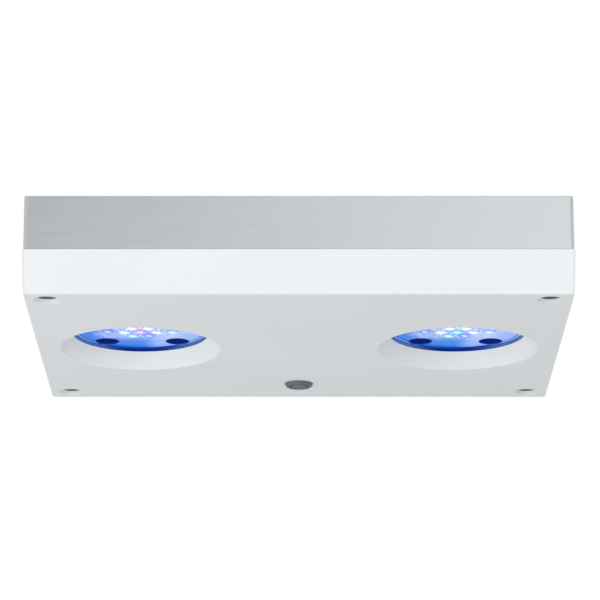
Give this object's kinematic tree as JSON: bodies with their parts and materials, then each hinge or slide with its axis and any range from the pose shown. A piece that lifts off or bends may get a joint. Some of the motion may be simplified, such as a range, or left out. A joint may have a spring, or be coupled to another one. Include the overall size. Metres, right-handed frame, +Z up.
{
  "type": "led aquarium light",
  "caption": "Hanging LED aquarium light: brushed aluminium housing over a white cover with flared round lens recesses, a push button and corner screws.",
  "frame": {"origin": "centre of the housing's top face, which the light hangs by", "axes": "+X to the right along the length, +Y to the back, +Z up, with the lenses facing -Z"},
  "size_m": [0.315, 0.2376, 0.06],
  "materials": {
    "brushed_aluminium": "brushed lengthwise",
    "cover_plastic": "satin white moulding",
    "seal_rubber": "matt",
    "lens_clear": "clear moulded lens lit blue from behind",
    "lens_ring": "dark blue, smooth",
    "board_white": "white solder mask",
    "board_green": "green solder mask",
    "raw_aluminium": "plain extruded",
    "black_plastic": "matt",
    "button_grey": "fine grain",
    "steel": "zinc plated",
    "lead_sleeve": "matt sleeve"
  },
  "bodies": {
    "case": {"top_housing": "brushed_aluminium", "bottom_cover": "cover_plastic", "cover_seal": "seal_rubber", "cover_screw_front_left": "steel", "hanger_nut_front_left": "steel", "cover_screw_front_right": "steel", "hanger_nut_front_right": "steel", "cover_screw_back_left": "steel", "hanger_nut_back_left": "steel", "cover_screw_back_right": "steel", "hanger_nut_back_right": "steel", "lens_seal_left": "lens_ring", "lens_plate_left": "lens_clear", "led_board_left": "board_white", "heat_sink_left": "raw_aluminium", "fan_frame_left": "black_plastic", "led_lead_left": "lead_sleeve", "fan_lead_left": "lead_sleeve", "lens_screw_left_1": "steel", "fan_screw_left_1": "steel", "lens_screw_left_2": "steel", "fan_screw_left_2": "steel", "lens_screw_left_3": "steel", "fan_screw_left_3": "steel", "lens_screw_left_4": "steel", "fan_screw_left_4": "steel", "sink_screw_left_1": "steel", "sink_screw_left_2": "steel", "lens_seal_right": "lens_ring", "lens_plate_right": "lens_clear", "led_board_right": "board_white", "heat_sink_right": "raw_aluminium", "fan_frame_right": "black_plastic", "led_lead_right": "lead_sleeve", "fan_lead_right": "lead_sleeve", "lens_screw_right_1": "steel", "fan_screw_right_1": "steel", "lens_screw_right_2": "steel", "fan_screw_right_2": "steel", "lens_screw_right_3": "steel", "fan_screw_right_3": "steel", "lens_screw_right_4": "steel", "fan_screw_right_4": "steel", "sink_screw_right_1": "steel", "sink_screw_right_2": "steel", "control_board": "board_green", "board_screw_1": "steel", "board_screw_2": "steel", "board_screw_3": "steel", "board_screw_4": "steel", "tact_switch": "black_plastic", "power_inlet": "black_plastic", "inlet_nut": "steel", "inlet_lead": "lead_sleeve"},
    "button": {"button_cap": "button_grey", "switch_plunger": "black_plastic"},
    "fan_left": {"fan_impeller_left": "black_plastic"},
    "fan_right": {"fan_impeller_right": "black_plastic"}
  },
  "joints": [
    {"name": "button_press", "type": "slide", "parent": "case", "child": "button", "axis": [0, 0, 1], "range_m": [0, 0.0008], "stiffness_N_per_m": 1500, "springref_m": -0.0005},
    {"name": "fan_left_spin", "type": "hinge", "parent": "case", "child": "fan_left", "pos_m": [-0.0954, 0.0015, -0.01], "axis": [0, 0, 1], "continuous": true},
    {"name": "fan_right_spin", "type": "hinge", "parent": "case", "child": "fan_right", "pos_m": [0.0954, 0.0015, -0.01], "axis": [0, 0, 1], "continuous": true}
  ]
}
